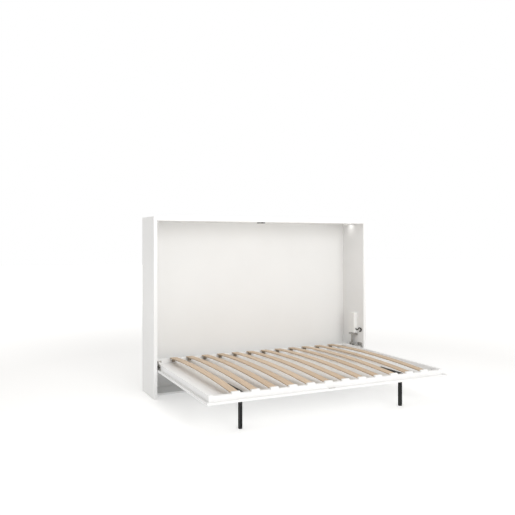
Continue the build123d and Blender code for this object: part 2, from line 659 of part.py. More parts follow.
with BuildPart() as leg_pins:
    for mid in LEG_MID.values():
        rod_x(mid - CHANNEL_W / 2, mid + CHANNEL_W / 2, LEG_Y, LEG_PIVOT_Z, LEG_PIN_R)
save(leg_pins, "leg_pins")

LEG_WALL = 2.0
LEG_SOLID_FROM = 220.0
PLUG_H = 15.0
LEG_HEAD_R = 5.0
LEG_HEAD_H = 2.0
LEG_SCREW_R = 2.5

for word, side in SIDES.items():
    mid = LEG_MID[side]
    half = LEG_W / 2
    inner = half - LEG_WALL
    front = LEG_Y - half
    with BuildPart() as leg:
        block((mid - half, mid + half), (front, LEG_Y + half), (LEG_FOOT_H, LEG_PIVOT_Z))
        rod_x(mid - half, mid + half, LEG_Y, LEG_PIVOT_Z, half)
        inner_y = (LEG_Y - inner, LEG_Y + inner)
        block((mid - inner, mid + inner), inner_y, (LEG_FOOT_H, LEG_SOLID_FROM), Mode.SUBTRACT)
        rod_x(mid - half, mid + half, LEG_Y, LEG_PIVOT_Z, LEG_PIN_R + CLEAR, Mode.SUBTRACT)
        for z in LEG_BOLT_Z:
            rod_y(mid, front, front + LEG_WALL, z, LEG_SCREW_R, Mode.SUBTRACT)
    save(leg, f"leg_{word}")

    with BuildPart() as leg_foot:
        block((mid - half, mid + half), (front, LEG_Y + half), (0, LEG_FOOT_H))
        block((mid - inner, mid + inner), inner_y, (LEG_FOOT_H, LEG_FOOT_H + PLUG_H))
    save(leg_foot, f"leg_foot_{word}")

    with BuildPart() as leg_bolts:
        for z in LEG_BOLT_Z:
            rod_y(mid, front - LEG_HEAD_H, front, z, LEG_HEAD_R)
            rod_y(mid, front, front + LEG_WALL, z, LEG_SCREW_R)
    save(leg_bolts, f"leg_bolts_{word}")
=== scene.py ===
import json
import math

import bmesh
import bpy
from mathutils import Matrix, Vector


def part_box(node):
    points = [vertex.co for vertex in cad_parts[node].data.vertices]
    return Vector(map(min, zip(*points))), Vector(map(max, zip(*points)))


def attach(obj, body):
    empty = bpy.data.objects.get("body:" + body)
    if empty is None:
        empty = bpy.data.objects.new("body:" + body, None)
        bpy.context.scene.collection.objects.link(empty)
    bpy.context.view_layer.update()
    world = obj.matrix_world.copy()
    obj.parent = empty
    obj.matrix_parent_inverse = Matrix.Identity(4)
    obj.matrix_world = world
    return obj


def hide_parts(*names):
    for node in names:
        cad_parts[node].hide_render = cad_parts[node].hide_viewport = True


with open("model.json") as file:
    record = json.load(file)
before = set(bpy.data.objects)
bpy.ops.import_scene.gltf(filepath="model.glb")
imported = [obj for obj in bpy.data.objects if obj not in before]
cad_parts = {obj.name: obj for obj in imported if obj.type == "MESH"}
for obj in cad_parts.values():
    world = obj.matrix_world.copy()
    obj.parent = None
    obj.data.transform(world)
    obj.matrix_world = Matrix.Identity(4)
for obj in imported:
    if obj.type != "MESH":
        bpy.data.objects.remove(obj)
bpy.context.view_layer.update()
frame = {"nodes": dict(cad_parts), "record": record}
record = frame["record"]
nodes = frame["nodes"]

MM = 0.001


# ---- small helpers for materials -----------------------------------------------------------

class Finish:
    """A material with its main shader, and short calls for the nodes that feed it."""

    def __init__(self, name, colour, roughness, metallic=0.0, **inputs):
        self.material = bpy.data.materials.new(name)
        self.material.use_nodes = True
        self.tree = self.material.node_tree
        self.shader = self.tree.nodes["Principled BSDF"]
        self.set("Base Color", (*colour, 1.0))
        self.set("Roughness", roughness)
        self.set("Metallic", metallic)
        for key, value in inputs.items():
            self.set(key.replace("_", " ").title().replace("Ior", "IOR"), value)
        self.coords = self.node("ShaderNodeTexCoord").outputs["Object"]
        self.height = None

    def set(self, socket, value):
        self.shader.inputs[socket].default_value = value

    def node(self, kind, **values):
        """A new node. Values named after a property set it, the rest go to its inputs."""
        made = self.tree.nodes.new(kind)
        for key, value in values.items():
            if hasattr(made, key):
                setattr(made, key, value)
            else:
                made.inputs[key.replace("_", " ")].default_value = value
        return made

    def link(self, output, socket):
        self.tree.links.new(output, socket)

    def stretched(self, scale):
        """Object coordinates scaled differently along each axis."""
        mapping = self.node("ShaderNodeMapping")
        mapping.inputs["Scale"].default_value = scale
        self.link(self.coords, mapping.inputs["Vector"])
        return mapping.outputs["Vector"]

    def noise(self, size, detail=4.0, rough=0.55, vector=None):
        """Noise whose features are about size metres across."""
        made = self.node("ShaderNodeTexNoise", Scale=1.0 / size, Detail=detail, Roughness=rough)
        self.link(vector or self.coords, made.inputs["Vector"])
        return made.outputs["Fac"]

    def cells(self, size):
        """Distance from the middle of irregular cells about size metres across."""
        made = self.node("ShaderNodeTexVoronoi", Scale=1.0 / size)
        self.link(self.coords, made.inputs["Vector"])
        return made.outputs["Distance"]

    def ramp(self, value, low, high, dark, light):
        """Maps a value between two limits to a colour between two colours."""
        made = self.node("ShaderNodeValToRGB")
        made.color_ramp.elements[0].position = low
        made.color_ramp.elements[1].position = high
        made.color_ramp.elements[0].color = (*dark, 1.0)
        made.color_ramp.elements[1].color = (*light, 1.0)
        self.link(value, made.inputs["Fac"])
        return made.outputs["Color"]

    def mix(self, share, first, second, kind="MIX"):
        """Blends two colours. Each input is a value or another node's output."""
        made = self.node("ShaderNodeMix", data_type="RGBA", blend_type=kind)
        for socket, value in zip(("Factor_Float", "A_Color", "B_Color"), (share, first, second)):
            target = next(s for s in made.inputs if s.identifier == socket)
            if isinstance(value, bpy.types.NodeSocket):
                self.link(value, target)
            else:
                target.default_value = value
        return next(s for s in made.outputs if s.identifier == "Result_Color")

    def spread(self, value, low, high):
        """Maps a value from 0..1 to low..high."""
        made = self.node("ShaderNodeMapRange")
        made.inputs["To Min"].default_value = low
        made.inputs["To Max"].default_value = high
        self.link(value, made.inputs["Value"])
        return made.outputs["Result"]

    def colour(self, output):
        self.link(output, self.shader.inputs["Base Color"])

    def roughness(self, output):
        self.link(output, self.shader.inputs["Roughness"])

    def bump(self, value, strength, depth):
        """Adds a layer of relief, depth metres deep."""
        made = self.node("ShaderNodeBump", Strength=strength, Distance=depth)
        self.link(value, made.inputs["Height"])
        if self.height:
            self.link(self.height, made.inputs["Normal"])
        self.height = made.outputs["Normal"]
        self.link(self.height, self.shader.inputs["Normal"])

    def edges(self):
        """Rises along sharp edges, from the surface's own curvature."""
        made = self.node("ShaderNodeNewGeometry")
        return made.outputs["Pointiness"]


def shade(colour, factor):
    return tuple(min(1.0, part * factor) for part in colour)


# ---- finishes ------------------------------------------------------------------------------

def melamine(name, colour, roughness=0.42):
    """White faced board: a fine pearl texture, faint cloudiness and handling marks."""
    f = Finish(name, colour, roughness, coat_weight=0.04, coat_roughness=0.3)
    cloud = f.noise(0.45, detail=3.0)
    f.colour(f.ramp(cloud, 0.3, 0.7, shade(colour, 0.985), shade(colour, 1.01)))
    f.roughness(f.spread(f.noise(0.12, detail=5.0), roughness - 0.06, roughness + 0.08))
    f.bump(f.noise(0.0022, detail=3.0, rough=0.6), 0.22, 0.0002)
    f.bump(f.noise(0.03, detail=2.0), 0.05, 0.0006)
    return f.material


def lacquer(name, colour):
    """White lacquered rail: smooth with faint brush-out along its length."""
    f = Finish(name, colour, 0.34, coat_weight=0.15, coat_roughness=0.25)
    streak = f.noise(0.02, detail=4.0, vector=f.stretched((0.15, 0.15, 1.0)))
    f.colour(f.ramp(streak, 0.3, 0.7, shade(colour, 0.985), shade(colour, 1.01)))
    f.roughness(f.spread(streak, 0.28, 0.42))
    f.bump(f.noise(0.004, detail=3.0), 0.12, 0.0002)
    return f.material


PLY_HALF = 0.65 * MM


def beech(name, colour):
    """Steamed beech veneer: long grain, short flecks, plies on the edge, a tone per slat."""
    f = Finish(name, colour, 0.46, coat_weight=0.12, coat_roughness=0.3)
    grain_way = f.stretched((1.0, 0.045, 1.0))
    grain = f.noise(0.0065, detail=7.0, rough=0.65, vector=grain_way)
    base = f.ramp(grain, 0.28, 0.74, shade(colour, 0.82), shade(colour, 1.1))
    fleck = f.noise(0.0016, detail=2.0, vector=f.stretched((1.0, 0.16, 1.0)))
    fleck_mask = f.ramp(fleck, 0.62, 0.70, (0.0, 0.0, 0.0), (0.5, 0.5, 0.5))
    base = f.mix(fleck_mask, base, (*shade(colour, 0.6), 1.0))
    tone = f.node("ShaderNodeAttribute", attribute_name="slat_tone").outputs["Fac"]
    tint = f.ramp(tone, 0.0, 1.0, (0.90, 0.87, 0.83), (1.0, 1.0, 1.0))
    base = f.mix(1.0, base, tint, "MULTIPLY")
    ply = f.node("ShaderNodeAttribute", attribute_name="ply_height").outputs["Fac"]
    wave = f.node("ShaderNodeMath", operation="PINGPONG")
    f.link(ply, wave.inputs[0])
    wave.inputs[1].default_value = PLY_HALF
    line = f.spread(wave.outputs[0], 0.0, 1.0)
    line.node.inputs["From Max"].default_value = PLY_HALF
    edge = f.node("ShaderNodeAttribute", attribute_name="ply_edge").outputs["Fac"]
    band = f.ramp(line, 0.15, 0.55, (0.55, 0.52, 0.48), (1.0, 1.0, 1.0))
    banded = f.mix(1.0, base, band, "MULTIPLY")
    f.colour(f.mix(edge, base, banded))
    f.roughness(f.spread(grain, 0.38, 0.56))
    f.bump(grain, 0.25, 0.0003)
    f.bump(fleck, 0.10, 0.0001)
    return f.material


def moulded(name, colour, roughness):
    """Moulded plastic with a spark-eroded texture."""
    f = Finish(name, colour, roughness, ior=1.48)
    cloud = f.noise(0.08, detail=3.0)
    f.colour(f.ramp(cloud, 0.3, 0.7, shade(colour, 0.96), shade(colour, 1.02)))
    f.roughness(f.spread(f.noise(0.03, detail=4.0), roughness - 0.06, roughness + 0.08))
    f.bump(f.cells(0.0016), 0.18, 0.00015)
    return f.material


def rubber(name, colour):
    """Soft rubber: dull, a little dusty, with a fine grain."""
    f = Finish(name, colour, 0.78)
    dust = f.noise(0.012, detail=5.0)
    f.colour(f.ramp(dust, 0.35, 0.75, shade(colour, 0.85), shade(colour, 1.25)))
    f.roughness(f.spread(dust, 0.70, 0.90))
    f.bump(f.noise(0.0011, detail=3.0), 0.35, 0.0002)
    return f.material


def powder_coat(name, colour):
    """Black powder coat: orange peel, and bare steel just showing on the sharpest edges."""
    f = Finish(name, colour, 0.48, ior=1.36)
    peel = f.noise(0.0028, detail=2.0, rough=0.4)
    wear = f.ramp(f.edges(), 0.56, 0.64, (0.0, 0.0, 0.0), (1.0, 1.0, 1.0))
    patchy = f.ramp(f.noise(0.02, detail=6.0), 0.52, 0.66, (0.0, 0.0, 0.0), (0.7, 0.7, 0.7))
    worn = f.mix(1.0, wear, patchy, "MULTIPLY")
    body = f.ramp(f.noise(0.06), 0.3, 0.7, shade(colour, 0.85), shade(colour, 1.3))
    f.colour(f.mix(worn, body, (0.32, 0.32, 0.33, 1.0)))
    f.roughness(f.spread(f.noise(0.015, detail=5.0), 0.40, 0.58))
    f.bump(peel, 0.30, 0.0002)
    return f.material


def sheet_zinc(name, colour, roughness=0.36, metallic=0.9):
    """Zinc plated sheet: soft spangle and fine rolling lines."""
    f = Finish(name, colour, roughness, metallic=metallic)
    spangle = f.cells(0.006)
    f.colour(f.ramp(spangle, 0.1, 0.8, shade(colour, 0.86), shade(colour, 1.12)))
    rolled = f.noise(0.0012, detail=4.0, vector=f.stretched((1.0, 0.04, 1.0)))
    f.roughness(f.spread(f.noise(0.01, detail=5.0), roughness - 0.08, roughness + 0.12))
    f.bump(rolled, 0.12, 0.0001)
    return f.material


def ground_steel(name, colour):
    """Bright ground steel: fine rings round the bar and a thin film of oil."""
    f = Finish(name, colour, 0.16, metallic=1.0)
    rings = f.noise(0.0008, detail=3.0, vector=f.stretched((0.1, 0.1, 1.0)))
    f.colour(f.ramp(f.noise(0.03), 0.3, 0.7, shade(colour, 0.9), shade(colour, 1.05)))
    f.roughness(f.spread(rings, 0.10, 0.24))
    f.bump(rings, 0.08, 0.00005)
    return f.material


def lit_lens(name, colour):
    """Frosted lens over a light that is on, brighter in the middle of each diode."""
    f = Finish(name, colour, 0.35)
    dots = f.cells(0.009)
    glow = f.ramp(dots, 0.0, 0.9, (1.0, 0.98, 0.94), (0.92, 0.90, 0.85))
    f.link(glow, f.shader.inputs["Emission Color"])
    f.set("Emission Strength", 2.2)
    f.colour(f.ramp(f.noise(0.01), 0.3, 0.7, shade(colour, 0.96), colour))
    f.bump(f.noise(0.0007, detail=2.0), 0.2, 0.0001)
    return f.material


WHITE = (0.86, 0.86, 0.855)

finishes = {
    "white_board": melamine("white_board", WHITE),
    "back_board": melamine("back_board", (0.84, 0.84, 0.83), 0.5),
    "white_rail": lacquer("white_rail", (0.88, 0.88, 0.875)),
    "beech_slat": beech("beech_slat", (0.66, 0.50, 0.345)),
    "white_plastic": moulded("white_plastic", (0.88, 0.88, 0.87), 0.40),
    "rest_rubber": rubber("rest_rubber", (0.40, 0.35, 0.29)),
    "lens": lit_lens("lens", (0.95, 0.94, 0.90)),
    "grey_plastic": moulded("grey_plastic", (0.30, 0.30, 0.30), 0.5),
    "black_plastic": moulded("black_plastic", (0.03, 0.03, 0.03), 0.45),
    "black_steel": powder_coat("black_steel", (0.006, 0.006, 0.006)),
    "grey_steel": sheet_zinc("grey_steel", (0.47, 0.46, 0.44), 0.42, 0.5),
    "white_steel": lacquer("white_steel", (0.86, 0.86, 0.85)),
    "bright_steel": ground_steel("bright_steel", (0.70, 0.71, 0.72)),
    "screw_steel": sheet_zinc("screw_steel", (0.62, 0.62, 0.61), 0.3),
    "dark_bolt": powder_coat("dark_bolt", (0.03, 0.03, 0.03)),
    "bush_plastic": moulded("bush_plastic", (0.72, 0.71, 0.67), 0.4),
    "foot_rubber": rubber("foot_rubber", (0.03, 0.03, 0.03)),
}

slot_of = {part["node"]: part["material_slot"] for part in record["subparts"]}
for node_name, node_object in nodes.items():
    node_object.data.materials.clear()
    node_object.data.materials.append(finishes[slot_of[node_name]])


# ---- CAD boards and bars get broken edges --------------------------------------------------

def break_edges(node_name, width, segments=2):
    """Welds a CAD node's facets and rounds its hard edges, without touching its own mesh."""
    piece = nodes[node_name]
    weld = piece.modifiers.new("weld", "WELD")
    weld.merge_threshold = 0.00001
    bevel = piece.modifiers.new("broken_edges", "BEVEL")
    bevel.width = width
    bevel.segments = segments
    bevel.limit_method = "ANGLE"
    bevel.angle_limit = math.radians(40)
    bevel.harden_normals = True


for node_name in ("left_rail", "right_rail", "front_rail", "rear_rail"):
    break_edges(node_name, 1.2 * MM)
for node_name in ("leg_left", "leg_right", "leg_foot_left", "leg_foot_right"):
    break_edges(node_name, 1.0 * MM)
for node_name in ("left_side_panel", "right_side_panel", "top_panel", "base_board",
                  "door_board_front", "door_board_rear"):
    break_edges(node_name, 0.8 * MM)
for node_name in ("hinge_arm_left", "hinge_arm_right", "guide_bracket", "catch_hook",
                  "pivot_bracket_left", "pivot_bracket_right", "wall_brackets",
                  "corner_brackets", "leg_channels", "latch_plunger", "hinge_bushes"):
    break_edges(node_name, 0.4 * MM)
break_edges("lift_cover", 1.5 * MM, 3)
for node_name in ("lift_cylinder", "lift_rod", "latch_housing", "pivot_pins", "strike_plate"):
    break_edges(node_name, 0.3 * MM)


# ---- Geometry Nodes: shared ways of building -----------------------------------------------

class Tree:
    """A Geometry Nodes tree with named inputs, and short calls for its nodes."""

    def __init__(self, name, inputs):
        self.tree = bpy.data.node_groups.new(name, "GeometryNodeTree")
        self.tree.is_modifier = True
        interface = self.tree.interface
        interface.new_socket("Geometry", in_out="INPUT", socket_type="NodeSocketGeometry")
        interface.new_socket("Geometry", in_out="OUTPUT", socket_type="NodeSocketGeometry")
        for label, kind in inputs.items():
            interface.new_socket(label, in_out="INPUT", socket_type="NodeSocket" + kind)
        interface.new_socket("Finish", in_out="INPUT", socket_type="NodeSocketMaterial")
        self.given = self.tree.nodes.new("NodeGroupInput").outputs
        self.result = self.tree.nodes.new("NodeGroupOutput").inputs["Geometry"]

    def add(self, kind, settings=None, **inputs):
        """A new node. Inputs take a value or another node's output."""
        made = self.tree.nodes.new(kind)
        for key, value in (settings or {}).items():
            setattr(made, key, value)
        for key, value in inputs.items():
            self.feed(made, key.replace("_", " "), value)
        return made

    def feed(self, node, key, value):
        wanted = [s for s in node.inputs if s.name == key and s.enabled]
        if isinstance(value, bpy.types.NodeSocket):
            self.tree.links.new(value, wanted[0])
        else:
            wanted[0].default_value = value

    def sum(self, first, second, operation="ADD"):
        made = self.tree.nodes.new("ShaderNodeMath")
        made.operation = operation
        for socket, value in zip(made.inputs, (first, second)):
            if isinstance(value, bpy.types.NodeSocket):
                self.tree.links.new(value, socket)
            else:
                socket.default_value = value
        return made.outputs[0]

    def vector(self, **parts):
        return self.add("ShaderNodeCombineXYZ", **parts).outputs[0]

    def close(self, instances):
        """Ends the tree: instances made real, shaded by their finish."""
        real = self.add("GeometryNodeRealizeInstances", Geometry=instances)
        painted = self.add(
            "GeometryNodeSetMaterial",
            Geometry=real.outputs["Geometry"],
            Material=self.given["Finish"],
        )
        self.tree.links.new(painted.outputs["Geometry"], self.result)
        return self.tree


def run_tree(name, tree, values, slot, points=(), facings=()):
    """Runs a tree on a set of points and returns its result as one plain mesh object."""
    seed_mesh = bpy.data.meshes.new(name + "_points")
    seed_mesh.from_pydata([tuple(p) for p in points], [], [])
    if facings:
        facing = seed_mesh.attributes.new("facing", "FLOAT_VECTOR", "POINT")
        for item, direction in zip(facing.data, facings):
            item.vector = direction
    holder = bpy.data.objects.new(name + "_points", seed_mesh)
    bpy.context.scene.collection.objects.link(holder)
    modifier = holder.modifiers.new("build", "NODES")
    modifier.node_group = tree
    sockets = {s.name: s.identifier for s in tree.interface.items_tree if s.in_out == "INPUT"}
    for label, value in {**values, "Finish": finishes[slot]}.items():
        modifier[sockets[label]] = value
    graph = bpy.context.evaluated_depsgraph_get()
    ready = holder.evaluated_get(graph)
    mesh = bpy.data.meshes.new_from_object(ready, preserve_all_data_layers=True, depsgraph=graph)
    holder.modifiers.remove(modifier)
    bpy.data.objects.remove(holder)
    mesh.name = name
    piece = bpy.data.objects.new(name, mesh)
    bpy.context.scene.collection.objects.link(piece)
    return piece


def place(piece, body, slot, *cad_nodes):
    """A finished piece rides on a body, takes a slot's finish and stands for CAD nodes."""
    if not piece.data.materials:
        piece.data.materials.append(finishes[slot])
    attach(piece, body)
    if cad_nodes:
        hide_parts(*cad_nodes)
    return piece


def islands(node_name):
    """The boxes of a CAD node's separate solids, as (lowest corner, highest corner)."""
    form = bmesh.new()
    form.from_mesh(nodes[node_name].data)
    bmesh.ops.remove_doubles(form, verts=form.verts, dist=1e-5)
    unseen = set(form.verts)
    found = []
    while unseen:
        stack = [unseen.pop()]
        group = []
        while stack:
            corner = stack.pop()
            group.append(corner.co.copy())
            for edge in corner.link_edges:
                other = edge.other_vert(corner)
                if other in unseen:
                    unseen.discard(other)
                    stack.append(other)
        low = Vector([min(c[i] for c in group) for i in range(3)])
        high = Vector([max(c[i] for c in group) for i in range(3)])
        found.append((low, high))
    form.free()
    return sorted(found, key=lambda pair: tuple(round(v, 4) for v in pair[0]))


# ---- bow-slats -----------------------------------------------------------------------------

def slat_tree():
    """Bowed slats side by side: a rounded strip carried along an arc, repeated along X."""
    t = Tree("bowed_slats", {
        "Count": "Int", "Pitch": "Float", "First": "Vector", "Width": "Float",
        "Thickness": "Float", "Rear": "Vector", "Crown": "Vector", "Front": "Vector",
        "Edge Radius": "Float", "Seed": "Int",
    })
    strip = t.add("GeometryNodeCurvePrimitiveQuadrilateral",
                  Width=t.given["Width"], Height=t.given["Thickness"])
    rounded = t.add("GeometryNodeFilletCurve", {"mode": "POLY"}, Curve=strip.outputs[0],
                    Count=3, Radius=t.given["Edge Radius"])
    place_on_strip = t.add("ShaderNodeSeparateXYZ",
                           Vector=t.add("GeometryNodeInputPosition").outputs[0])
    ply = t.add("GeometryNodeStoreNamedAttribute", {"data_type": "FLOAT", "domain": "POINT"},
                Geometry=rounded.outputs[0], Name="ply_height",
                Value=t.sum(place_on_strip.outputs["Y"], t.given["Thickness"]))
    inner = t.sum(t.sum(t.given["Width"], 0.5, "MULTIPLY"), t.given["Edge Radius"], "SUBTRACT")
    on_edge = t.sum(t.sum(place_on_strip.outputs["X"], 0.0, "ABSOLUTE"), inner, "GREATER_THAN")
    edge = t.add("GeometryNodeStoreNamedAttribute", {"data_type": "FLOAT", "domain": "POINT"},
                 Geometry=ply.outputs[0], Name="ply_edge", Value=on_edge)
    arc = t.add("GeometryNodeCurveArc", {"mode": "POINTS"}, Resolution=33,
                Start=t.given["Rear"], Middle=t.given["Crown"], End=t.given["Front"])
    upright = t.add("GeometryNodeSetCurveNormal", {"mode": "Z_UP"}, Curve=arc.outputs[0])
    swept = t.add("GeometryNodeCurveToMesh", Curve=upright.outputs[0],
                  Profile_Curve=edge.outputs[0], Fill_Caps=True)
    row = t.add("GeometryNodeMeshLine", {"mode": "OFFSET"}, Count=t.given["Count"],
                Start_Location=t.given["First"], Offset=t.vector(X=t.given["Pitch"]))
    copies = t.add("GeometryNodeInstanceOnPoints", Points=row.outputs[0],
                   Instance=swept.outputs[0])
    tone = t.add("FunctionNodeRandomValue", {"data_type": "FLOAT"},
                 ID=t.add("GeometryNodeInputIndex").outputs[0], Seed=t.given["Seed"])
    toned = t.add("GeometryNodeStoreNamedAttribute", {"data_type": "FLOAT", "domain": "INSTANCE"},
                  Geometry=copies.outputs[0], Name="slat_tone",
                  Value=[s for s in tone.outputs if s.enabled][0])
    return t.close(toned.outputs[0])


slat_names = sorted(name for name in nodes if name.startswith("slat_") and name[-1].isdigit())
first_low, first_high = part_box(slat_names[0])
last_low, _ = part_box(slat_names[-1])
slat_width = first_high[0] - first_low[0]
slat_thick = 8.0 * MM
slat_play = 0.1 * MM
slat_middle = (first_low[1] + first_high[1]) / 2
slat_seat = first_low[2] + slat_thick / 2
slats = run_tree("sprung_slats", slat_tree(), {
    "Count": len(slat_names),
    "Pitch": (last_low[0] - first_low[0]) / (len(slat_names) - 1),
    "First": ((first_low[0] + first_high[0]) / 2, 0.0, 0.0),
    "Width": slat_width,
    "Thickness": slat_thick - slat_play,
    "Rear": (0.0, first_high[1], slat_seat),
    "Crown": (0.0, slat_middle, first_high[2] - slat_thick / 2),
    "Front": (0.0, first_low[1], slat_seat),
    "Edge Radius": 2.2 * MM,
    "Seed": 7,
}, "beech_slat")
place(slats, "bed", "beech_slat", *slat_names)


# ---- moulded pieces repeated under or over each slat ---------------------------------------

def copies_tree():
    """One template piece repeated at every point."""
    t = Tree("template_copies", {"Template": "Object"})
    template = t.add("GeometryNodeObjectInfo", {"transform_space": "ORIGINAL"},
                     Object=t.given["Template"])
    copies = t.add("GeometryNodeInstanceOnPoints", Points=t.given["Geometry"],
                   Instance=template.outputs["Geometry"])
    return t.close(copies.outputs[0])


def new_piece(name, form):
    """A mesh object from a bmesh, with outward normals."""
    bmesh.ops.recalc_face_normals(form, faces=form.faces)
    mesh = bpy.data.meshes.new(name)
    form.to_mesh(mesh)
    form.free()
    piece = bpy.data.objects.new(name, mesh)
    bpy.context.scene.collection.objects.link(piece)
    return piece


def add_box(form, low, high):
    """Adds a box to a bmesh."""
    size = Vector(high) - Vector(low)
    centre = (Vector(high) + Vector(low)) / 2
    matrix = Matrix.Translation(centre) @ Matrix.Diagonal((*size, 1.0))
    bmesh.ops.create_cube(form, size=1.0, matrix=matrix)


def bevelled(piece, width):
    """Rounds a piece's hard edges and leaves a plain mesh."""
    bevel = piece.modifiers.new("bevel", "BEVEL")
    bevel.width = width
    bevel.segments = 2
    bevel.limit_method = "ANGLE"
    bevel.harden_normals = True
    ready = piece.evaluated_get(bpy.context.evaluated_depsgraph_get())
    mesh = bpy.data.meshes.new_from_object(ready)
    piece.modifiers.clear()
    piece.data = mesh
    return piece


def cap_template(size):
    """One slat cap: a shallow hood, open below and behind, with ribs across its roof."""
    form = bmesh.new()
    wall = 1.0 * MM
    roof = 2.0 * MM
    front = 7.5 * MM
    under = size[2] - roof
    rib = 0.4 * MM
    add_box(form, (0.0, rib, 0.0), (size[0], front, under))
    add_box(form, (0.0, front, 0.0), (wall, size[1], under))
    add_box(form, (size[0] - wall, front, 0.0), (size[0], size[1], under))
    add_box(form, (0.0, rib, under), (size[0], size[1], size[2] - rib))
    for share in (0.25, 0.5, 0.75):
        middle = share * size[0]
        low = (middle - 2 * wall, 0.0, 0.0)
        high = (middle + 2 * wall, size[1] - wall, size[2])
        add_box(form, (low[0], low[1], wall), (high[0], rib, size[2] - roof))
        add_box(form, (low[0], wall, size[2] - rib), high)
    return bevelled(new_piece("slat_cap_template", form), 0.15 * MM)


def rest_template(size):
    """One rubber rest: a block with grooves across its face."""
    form = bmesh.new()
    ribs = 4
    pitch = size[2] / ribs
    rib = 0.72 * pitch
    inset = 1.2 * MM
    for step in range(ribs):
        low = step * pitch
        add_box(form, (0.0, 0.0, low), (size[0], size[1], low + rib))
        if step < ribs - 1:
            add_box(form, (inset, inset, low + rib), (size[0] - inset, size[1], low + pitch))
    add_box(form, (0.0, 0.0, size[2] - pitch + rib), (size[0], size[1], size[2]))
    return bevelled(new_piece("slat_rest_template", form), 0.5 * MM)


def repeat_node(node_name, template, name, body):
    """Puts a template at the lowest corner of each solid of a CAD node."""
    slot = slot_of[node_name]
    points = [pair[0] for pair in islands(node_name)]
    piece = run_tree(name, copies_tree(), {"Template": template}, slot, points)
    bpy.data.objects.remove(template)
    return place(piece, body, slot, node_name)


cap_low, cap_high = islands("slat_caps")[0]
repeat_node("slat_caps", cap_template(cap_high - cap_low), "slat_end_caps", "bed")
rest_low, rest_high = islands("slat_rests")[0]
repeat_node("slat_rests", rest_template(rest_high - rest_low), "slat_rubber_rests", "bed")


# ---- screws and bolts ----------------------------------------------------------------------

def head_tree():
    """Turned heads with a chamfer and a driver socket, one at each point, facing its way."""
    t = Tree("socket_heads", {
        "Radius": "Float", "Height": "Float", "Chamfer": "Float",
        "Socket": "Float", "Depth": "Float", "Sides": "Int",
        "Shank Radius": "Float", "Shank": "Float",
    })
    body_height = t.sum(t.given["Height"], t.given["Chamfer"], "SUBTRACT")
    drum = t.add("GeometryNodeMeshCylinder", {"fill_type": "NGON"}, Vertices=t.given["Sides"],
                 Radius=t.given["Radius"], Depth=body_height)
    seated = t.add("GeometryNodeTransform", Geometry=drum.outputs["Mesh"],
                   Translation=t.vector(Z=t.sum(body_height, 0.5, "MULTIPLY")))
    lift = t.add("GeometryNodeExtrudeMesh", {"mode": "FACES"}, Mesh=seated.outputs[0],
                 Selection=drum.outputs["Top"], Offset_Scale=t.given["Chamfer"])
    taper = t.sum(1.0, t.sum(t.given["Chamfer"], t.given["Radius"], "DIVIDE"), "SUBTRACT")
    cone = t.add("GeometryNodeScaleElements", {"domain": "FACE"}, Geometry=lift.outputs["Mesh"],
                 Selection=lift.outputs["Top"], Scale=taper)
    rim = t.add("GeometryNodeExtrudeMesh", {"mode": "FACES"}, Mesh=cone.outputs[0],
                Selection=lift.outputs["Top"], Offset_Scale=0.0)
    mouth = t.add("GeometryNodeScaleElements", {"domain": "FACE"}, Geometry=rim.outputs["Mesh"],
                  Selection=rim.outputs["Top"], Scale=t.given["Socket"])
    sunk = t.add("GeometryNodeExtrudeMesh", {"mode": "FACES"}, Mesh=mouth.outputs[0],
                 Selection=rim.outputs["Top"],
                 Offset_Scale=t.sum(t.given["Depth"], -1.0, "MULTIPLY"))
    bar = t.add("GeometryNodeMeshCylinder", {"fill_type": "NGON"}, Vertices=t.given["Sides"],
                Radius=t.given["Shank Radius"], Depth=t.given["Shank"])
    shank = t.add("GeometryNodeTransform", Geometry=bar.outputs["Mesh"],
                  Translation=t.vector(Z=t.sum(t.given["Shank"], -0.5, "MULTIPLY")))
    whole = t.add("GeometryNodeJoinGeometry")
    for part in (shank.outputs[0], sunk.outputs["Mesh"]):
        t.tree.links.new(part, whole.inputs[0])
    facing = t.add("GeometryNodeInputNamedAttribute", {"data_type": "FLOAT_VECTOR"}, Name="facing")
    turn = t.add("FunctionNodeAlignRotationToVector", {"axis": "Z"},
                 Vector=[s for s in facing.outputs if s.enabled][0])
    copies = t.add("GeometryNodeInstanceOnPoints", Points=t.given["Geometry"],
                   Instance=whole.outputs[0], Rotation=turn.outputs[0])
    return t.close(copies.outputs[0])


CHAMFER_SHARE = 0.18
SOCKET_SHARE = 0.5
SOCKET_DEPTH_SHARE = 0.55


def heads(name, body, node_name, spots, size, shank, sides=12):
    """Replaces a CAD node of screws. Each spot is (seat centre, facing)."""
    radius, height = size
    slot = slot_of[node_name]
    piece = run_tree(name, head_tree(), {
        "Radius": radius, "Height": height, "Chamfer": CHAMFER_SHARE * height,
        "Socket": SOCKET_SHARE, "Depth": SOCKET_DEPTH_SHARE * height, "Sides": sides,
        "Shank Radius": shank[0], "Shank": shank[1],
    }, slot, [spot[0] for spot in spots], [spot[1] for spot in spots])
    return place(piece, body, slot, node_name)


ARM_SHANK = (3.0 * MM, 4.0 * MM)
arm_spots = []
arm_faces = [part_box(f"hinge_arm_{word}") for word in ("left", "right")]
for low, high in islands("arm_bolts"):
    outward = any(
        abs(high.x - face[0][0]) < MM or abs(low.x - face[1][0]) < MM for face in arm_faces
    )
    way = 1.0 if (low.x > 0) == outward else -1.0
    seat = Vector((low.x if way > 0 else high.x, (low.y + high.y) / 2, (low.z + high.z) / 2))
    arm_spots.append((seat, (way, 0.0, 0.0)))
arm_low, arm_high = islands("arm_bolts")[0]
heads("hinge_arm_bolts", "bed", "arm_bolts", arm_spots,
      ((arm_high.z - arm_low.z) / 2, arm_high.x - arm_low.x), ARM_SHANK)

